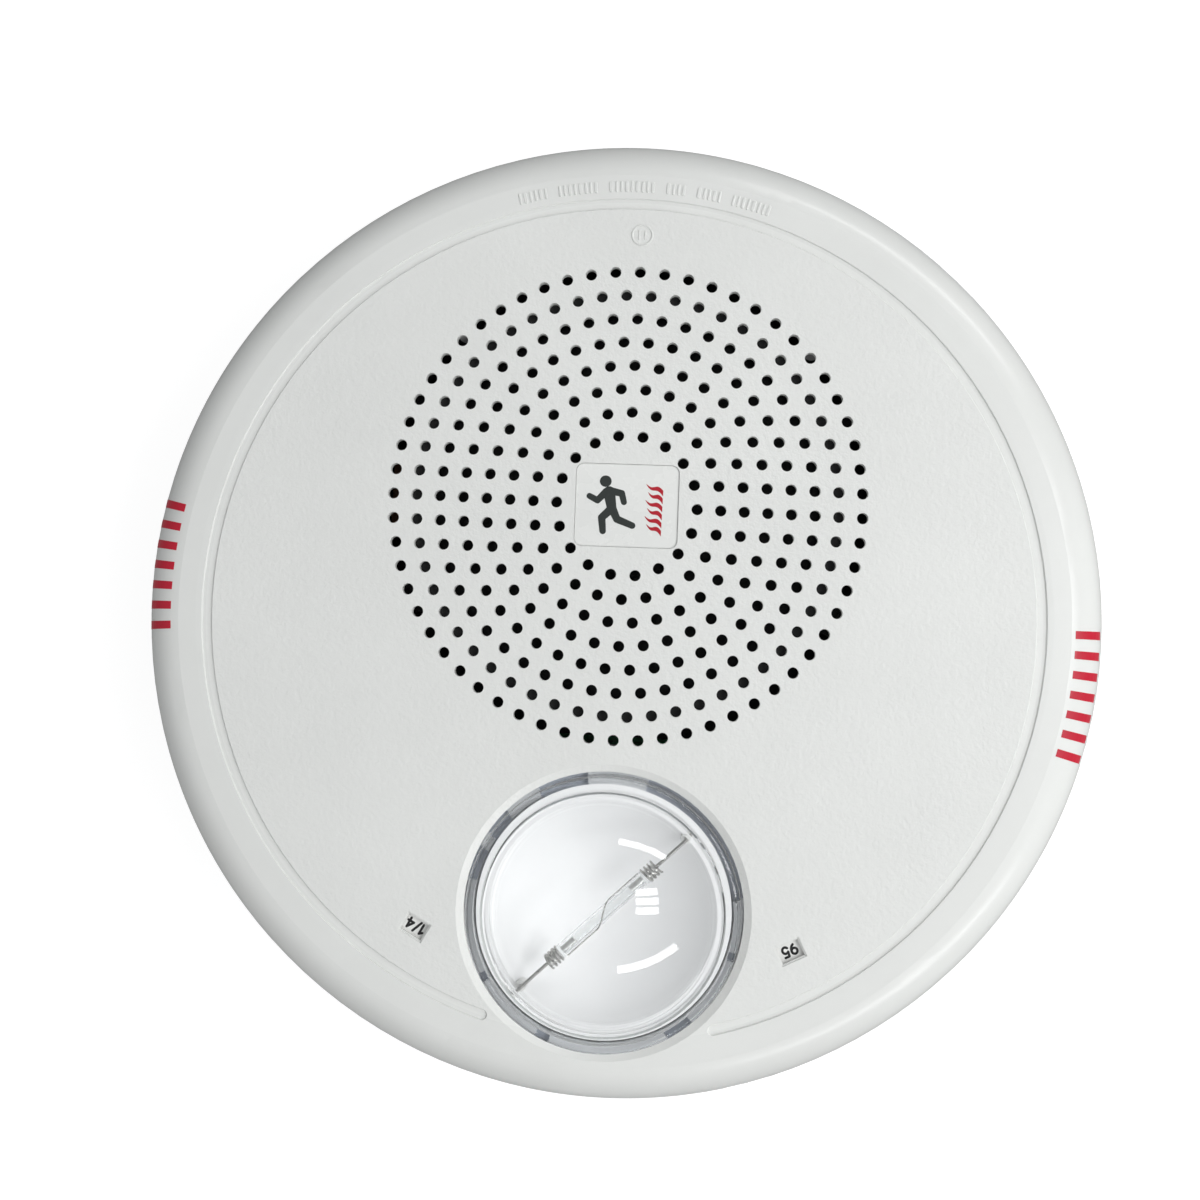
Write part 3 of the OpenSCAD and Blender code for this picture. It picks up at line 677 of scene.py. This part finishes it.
def dial_values(name, joint_name, side, values):
    """The values round a dial, with their tops towards its axis, the first behind the window."""
    axis = joint(joint_name)["pos_m"]
    parts = []
    for i, value in enumerate(values):
        angle = math.pi / 2 + side * (WINDOW_TILT + i * math.pi / 4)
        verts, faces = value_mesh(value, 2.3)
        turn = Matrix.Rotation(angle + math.pi / 2, 3, "Z")
        outwards = Vector((math.cos(angle), math.sin(angle), 0))
        centre = Vector((axis[0], axis[1], DIAL_TOP)) + LABEL_R * outwards
        parts.append(([centre + turn @ v for v in verts], faces))
    body = next(j["child"] for j in frame["joints"] if j["name"] == joint_name)
    piece = new_object(name, mesh_from(name, *joined(parts)), body)
    piece.data.materials.append(BLACK_PRINT)


# ---------- strobe ----------

def seat_tabs():
    """White blocks and a grey ring of painted shade below the lens drum's wall, seen through it;
    the ring stands for the dark gap round the lens.
    """
    tree = tree_of("strobe_housing")
    lens_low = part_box("strobe_lens")[0][2]
    inner, outer = 29.6 * MM, 32.4 * MM
    shelf = drop(tree, STROBE.x + 31.5 * MM, STROBE.y, lens_low)[0].z
    shade_ring_top = shelf + 0.6 * MM
    # A grey-blue ring of painted shade, for the shaded gap round the lens as seen through the clear
    # drum
    shade_ring = [(inner, shelf), (outer, shelf), (outer, shade_ring_top), (inner, shade_ring_top)]
    verts, faces = lathe(shade_ring)
    spot = (STROBE.x, STROBE.y, 0)
    shade_ring_mesh = mesh_from("lens_shade_ring", moved(verts, spot), faces)
    ring = new_object("lens_shade_ring", shade_ring_mesh, "base")
    ring.data.materials.append(plastic("shade_ring_grey", (0.56, 0.6, 0.68), 0.5, 900, 0.00003))
    parts = []
    blocks = ((74, 26), (122, 16), (150, 6), (170, 40), (214, 30), (250, 50), (312, 30), (346, 22))
    for start, width in blocks:
        steps = 8
        points = []
        for radius, order in ((outer - 0.2 * MM, 1), (inner + 0.2 * MM, -1)):
            angles = [math.radians(start + width * k / steps) for k in range(steps + 1)]
            points += [(radius * math.cos(a), radius * math.sin(a)) for a in angles[::order]]
        parts.append(prism(points, shade_ring_top, lens_low - 0.1 * MM))
    verts, faces = joined(parts)
    tab_mesh = mesh_from("lens_seat_tabs", moved(verts, spot), faces)
    tabs = new_object("lens_seat_tabs", tab_mesh, "base")
    tabs.data.materials.append(plastic("tab_grey", (0.92, 0.94, 0.97), 0.4, 900, 0.00003))


def swept(path, radius, sides=10):
    """Points and faces of a round wire along a list of points."""
    verts, faces = [], []
    side = None
    for i, point in enumerate(path):
        along = (path[min(i + 1, len(path) - 1)] - path[max(i - 1, 0)]).normalized()
        if side is None:
            side = along.orthogonal().normalized()
        side = (side - side.dot(along) * along).normalized()
        other = along.cross(side)
        for k in range(sides):
            a = math.tau * k / sides
            verts.append(point + radius * (side * math.cos(a) + other * math.sin(a)))
    for i in range(len(path) - 1):
        for k in range(sides):
            m = (k + 1) % sides
            faces.append((i * sides + k, i * sides + m, (i + 1) * sides + m, (i + 1) * sides + k))
    last = (len(path) - 1) * sides
    faces.append(tuple(range(sides - 1, -1, -1)))
    faces.append(tuple(range(last, last + sides)))
    return verts, faces


def tube_springs():
    """Coils of wire that grip the flash tube's two end caps."""
    centre = middle("flash_tube")
    low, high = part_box("tube_electrodes")
    half = (Vector(high) - Vector(low)).xy.length / 2
    along = Vector((1, 1, 0)).normalized()
    across = Vector((-1, 1, 0)).normalized()
    turns, steps, radius = 3.5, 84, 1.75 * MM
    parts = []
    for side in (-1, 1):
        path = []
        for k in range(steps + 1):
            a = math.tau * turns * k / steps
            at = side * (half - 4.4 * MM + 3.4 * MM * k / steps)
            path.append(centre + along * at + radius * (across * math.cos(a) + UP * math.sin(a)))
        parts.append(swept(path, 0.24 * MM))
    mesh = mesh_from("tube_springs", *joined(parts))
    piece = new_object("tube_springs", mesh, "base")
    piece.data.materials.append(NODES["tube_leads"].active_material)


# ---------- circuit board ----------

BOARD_TOP = top("circuit_board")


def islands(node):
    """Boxes of the separate solids in a CAD node."""
    mesh = NODES[node].data
    spots = {}
    owner = []
    for i, v in enumerate(mesh.vertices):
        owner.append(spots.setdefault(tuple(round(c, 6) for c in v.co), i))
    parent = list(range(len(owner)))

    def root(i):
        while parent[i] != i:
            parent[i] = parent[parent[i]]
            i = parent[i]
        return i

    for face in mesh.polygons:
        first = root(owner[face.vertices[0]])
        for v in face.vertices[1:]:
            parent[root(owner[v])] = first
    groups = {}
    for i, spot in enumerate(owner):
        groups.setdefault(root(spot), []).append(mesh.vertices[i].co)
    boxes = []
    for points in groups.values():
        low = Vector([min(p[k] for p in points) for k in range(3)])
        high = Vector([max(p[k] for p in points) for k in range(3)])
        boxes.append((low, high))
    return sorted(boxes, key=lambda box: (round(box[0].y, 5), round(box[0].x, 5)))


def solder(x, y):
    """A small cone of solder on the board."""
    profile = [(0, -0.1), (0.75, -0.1), (0.75, 0.05), (0.42, 0.22), (0.3, 0.6), (0, 0.65)]
    verts, faces = lathe([(r * MM + 1e-6, z * MM) for r, z in profile], 16)
    return moved(verts, (x, y, BOARD_TOP)), faces


def chip_pins():
    """Bent legs along both long sides of every chip."""
    parts = []
    pitch = 1.27 * MM
    for low, high in islands("board_chips"):
        count = max(3, int((high.x - low.x) / pitch))
        middle_x = (low.x + high.x) / 2
        for side, edge in ((-1, low.y), (1, high.y)):
            for i in range(count):
                x = middle_x + (i - (count - 1) / 2) * pitch
                steps = ((-0.1, 0.8), (0.35, 0.8), (0.5, 0.2), (0.65, 0.12), (1.05, 0.12))
                path = [Vector((x, edge + side * out * MM, BOARD_TOP + z * MM)) for out, z in steps]
                parts.append(swept(path, 0.16 * MM, 6))
    piece = new_object("chip_pins", mesh_from("chip_pins", *joined(parts)), "base")
    piece.data.materials.append(NODES["terminal_lugs"].active_material)


def resistor_leads():
    """Bent leads at both ends of every resistor, soldered to the board."""
    parts = []
    for low, high in islands("board_resistors"):
        centre = (low + high) / 2
        for side in (-1, 1):
            start = centre.x + side * (high.x - low.x) / 2
            bend = 0.5 * MM
            path = [Vector((start + way * bend, centre.y, centre.z)) for way in (-side, side)]
            for k in range(1, 5):
                a = math.pi / 2 * k / 4
                path.append(Vector((start + side * bend * (1 + math.sin(a)), centre.y,
                                    centre.z - bend * (1 - math.cos(a)))))
            path.append(Vector((start + side * 2 * bend, centre.y, BOARD_TOP + 0.2 * MM)))
            parts.append(swept(path, 0.25 * MM, 8))
            parts.append(solder(start + side * 2 * bend, centre.y))
    mesh = mesh_from("resistor_leads", *joined(parts))
    piece = new_object("resistor_leads", mesh, "base")
    piece.data.materials.append(NODES["terminal_lugs"].active_material)


def banded(name, node, colours, colour, axis=0, roughness=0.3):
    """Lacquer with bands across an axis: colours are (start, stop, colour) along the node."""
    m = Nodes(name)
    low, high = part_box(node)
    split = m.add("ShaderNodeSeparateXYZ")
    m.link(m.place, split.inputs["Vector"])
    along = m.span(split.outputs[axis], 0, 1, low[axis], high[axis])
    ramp = m.add("ShaderNodeValToRGB")
    ramp.color_ramp.interpolation = "CONSTANT"
    ramp.color_ramp.elements[0].color = (*colour, 1)
    ramp.color_ramp.elements[1].position = 0.999
    ramp.color_ramp.elements[1].color = (*colour, 1)
    for start, stop, band in colours:
        ramp.color_ramp.elements.new(start).color = (*band, 1)
        ramp.color_ramp.elements.new(stop).color = (*colour, 1)
    m.link(along, ramp.inputs["Fac"])
    m.link(ramp.outputs["Color"], m.shader.inputs["Base Color"])
    m.link(m.span(m.noise(400, 3), roughness - 0.05, roughness + 0.1, 0.3, 0.7),
           m.shader.inputs["Roughness"])
    m.bump(m.noise(1500, 2), 0.3, 0.00002)
    m.set(ior=1.5, coat_weight=0.3)
    return m.material


def board_material():
    """Green solder mask with lighter copper tracks showing through it."""
    m = Nodes("solder_mask")
    tracks = m.add("ShaderNodeTexBrick", scale=55.0, mortar_size=0.035, brick_width=0.4,
                   row_height=0.13)
    tracks.offset = 0.37
    m.link(m.place, tracks.inputs["Vector"])
    copper = m.math("MULTIPLY", tracks.outputs["Fac"], m.span(m.noise(28, 1), 0, 1, 0.42, 0.5))
    m.link(m.ramp(copper, (0.012, 0.12, 0.045), (0.03, 0.24, 0.09)), m.shader.inputs["Base Color"])
    m.link(m.span(m.noise(200, 3), 0.22, 0.36, 0.3, 0.7), m.shader.inputs["Roughness"])
    m.bump(copper, 0.5, 0.00004)
    m.set(ior=1.5, coat_weight=0.4)
    return m.material


# ---------- camera, lights and floor ----------

# The camera's height above the face, the width of the face's plane that it takes in, the
# points of that plane below it and in the middle of the picture, and its turn
FACE_TO_CAMERA = 0.370
FRAME_WIDTH = 0.2755
FOOT = Vector((0.0105, -0.0046))
AIM = Vector((-0.00487, 0.0041))
ROLL = math.radians(3.28)


def make_camera():
    """Nearly square on to the face, a little to the right of it, turned so the object leans."""
    data = bpy.data.cameras.new("camera")
    place = Vector((FOOT.x, FOOT.y, FACE_Z + FACE_TO_CAMERA))
    target = Vector((AIM.x, AIM.y, FACE_Z))
    back = (place - target).normalized()
    right = Vector((math.cos(ROLL), math.sin(ROLL), 0))
    right = (right - right.dot(back) * back).normalized()
    up = back.cross(right)
    camera = bpy.data.objects.new("camera", data)
    bpy.context.scene.collection.objects.link(camera)
    turn = Matrix((right, up, back)).transposed().to_4x4()
    camera.matrix_world = Matrix.Translation(place) @ turn
    data.lens = data.sensor_width * (place - target).length / FRAME_WIDTH
    data.clip_start = 0.01
    bpy.context.scene.camera = camera


def area_light(name, place, target, size, energy):
    """A soft rectangular light at place, aimed at target."""
    data = bpy.data.lights.new(name, "AREA")
    data.shape = "RECTANGLE"
    data.size, data.size_y = size
    data.energy = energy
    light = bpy.data.objects.new(name, data)
    bpy.context.scene.collection.objects.link(light)
    light.location = place
    light.rotation_mode = "QUATERNION"
    light.rotation_quaternion = (Vector(target) - Vector(place)).to_track_quat("-Z", "Y")
    return light


def strip_light(name, start, end, width, energy):
    """A long light between two directions from the strobe, a metre away and facing it."""
    ends = [STROBE + Vector(d).normalized() for d in (start, end)]
    place = (ends[0] + ends[1]) / 2
    along = (ends[1] - ends[0]).normalized()
    back = (place - STROBE).normalized()
    back = (back - back.dot(along) * along).normalized()
    light = area_light(name, place, STROBE, ((ends[1] - ends[0]).length, width), energy)
    turn = Matrix((along, back.cross(along), back)).transposed()
    light.rotation_quaternion = turn.to_quaternion()


def make_lights():
    """Soft lights on the right, on the left and below, two strips and a window of three panes."""
    key = area_light("key", (0.7, -0.12, 0.66), (0.0, 0.0, 0.0), (0.7, 0.9), 3.72)
    fill = area_light("fill", (-0.85, -0.35, 0.4), (0.0, 0.0, 0.0), (0.8, 0.8), 1.1)
    for light in (key, fill):
        light.visible_glossy = False
        light.visible_transmission = False
    area_light("under", (-0.35, -0.5, -0.75), (0.0, 0.0, 0.0), (0.9, 0.9), 6.0)
    strip_light("strip_upper", (0.14, 0.86, 0.55), (0.74, 0.66, 0.42), 0.06, 1.2)
    strip_light("strip_lower", (0.19, -0.66, 0.62), (0.8, -0.38, 0.38), 0.08, 1.65)
    for i, height in enumerate((0.03, 0.155, 0.28)):
        strip_light("window" + str(i), (0.44, height, 0.9), (0.7, height, 0.73), 0.085, 0.6)


def make_room():
    """A pale room, lighter overhead, that the camera sees as plain white."""
    world = bpy.data.worlds.new("room")
    world.use_nodes = True
    tree = world.node_tree
    background = tree.nodes["Background"]
    background.inputs["Strength"].default_value = 0.42
    coordinates = tree.nodes.new("ShaderNodeTexCoord")
    split = tree.nodes.new("ShaderNodeSeparateXYZ")
    ramp = tree.nodes.new("ShaderNodeValToRGB")
    low, high = ramp.color_ramp.elements
    low.position, high.position = 0.0, 0.8
    low.color, high.color = (0.56, 0.57, 0.58, 1), (0.96, 0.975, 0.99, 1)
    tree.links.new(coordinates.outputs["Generated"], split.inputs["Vector"])
    tree.links.new(split.outputs["Z"], ramp.inputs["Fac"])
    tree.links.new(ramp.outputs["Color"], background.inputs["Color"])
    backdrop = tree.nodes.new("ShaderNodeBackground")
    backdrop.inputs["Strength"].default_value = 1.0
    backdrop.inputs["Color"].default_value = (1, 1, 1, 1)
    mix = tree.nodes.new("ShaderNodeMixShader")
    rays = tree.nodes.new("ShaderNodeLightPath")
    tree.links.new(rays.outputs["Is Camera Ray"], mix.inputs["Fac"])
    tree.links.new(background.outputs["Background"], mix.inputs[1])
    tree.links.new(backdrop.outputs["Background"], mix.inputs[2])
    tree.links.new(mix.outputs["Shader"], tree.nodes["World Output"].inputs["Surface"])
    bpy.context.scene.world = world


def make_floor():
    """A plain floor below the magnet, white to the camera, dim behind the object and seen
    only from above."""
    size, dim_radius, white_radius = 3.0, 0.085, 0.1
    low = CAD_BOX[0][2] - 1 * MM
    corners = [(-size, -size, low), (size, -size, low), (size, size, low), (-size, size, low)]
    mesh = bpy.data.meshes.new("floor")
    mesh.from_pydata(corners, [], [(0, 1, 2, 3)])
    floor = bpy.data.objects.new("floor", mesh)
    bpy.context.scene.collection.objects.link(floor)
    m = Nodes("floor_white")
    pale = m.ramp(m.noise(8, 2), (0.3, 0.3, 0.3), (0.31, 0.31, 0.31))
    m.link(pale, m.shader.inputs["Base Color"])
    m.set(roughness=0.9)
    m.shader.inputs["Emission Color"].default_value = (1, 1, 1, 1)
    m.shader.inputs["Emission Strength"].default_value = 0.85
    dim = m.add("ShaderNodeBsdfDiffuse")
    m.link(pale, dim.inputs["Color"])
    mix = m.add("ShaderNodeMixShader")
    beside = m.span(m.radius_from((0, 0)), 0, 1, dim_radius, white_radius)
    looked_at = m.add("ShaderNodeLightPath").outputs["Is Camera Ray"]
    m.link(m.math("MULTIPLY", looked_at, beside), mix.inputs["Fac"])
    m.link(dim.outputs["BSDF"], mix.inputs[1])
    m.link(m.shader.outputs["BSDF"], mix.inputs[2])
    from_below = m.add("ShaderNodeNewGeometry").outputs["Backfacing"]
    side = m.add("ShaderNodeMixShader")
    m.link(m.math("MULTIPLY", looked_at, from_below), side.inputs["Fac"])
    m.link(mix.outputs["Shader"], side.inputs[1])
    m.link(m.add("ShaderNodeBsdfTransparent").outputs["BSDF"], side.inputs[2])
    output = next(n for n in m.tree.nodes if n.type == "OUTPUT_MATERIAL")
    m.link(side.outputs["Shader"], output.inputs["Surface"])
    mesh.materials.append(m.material)
    floor.visible_shadow = False


bpy.context.scene.view_settings.view_transform = "Standard"
make_camera()
make_lights()
make_room()
make_floor()
paint_frame()
rim_bars("rim_bars_left", 176.5, 6, 73)
rim_bars("rim_bars_right", -6.2, 30, 79)
rim_dashes()
round_emboss()
pictogram()
dial_values("candela_values", "candela_select", 1, ("95", "75", "30", "15"))
dial_values("tap_values", "tap_select", -1, ("1/4", "1/2", "1", "2"))
seat_tabs()
tube_springs()
chip_pins()
resistor_leads()
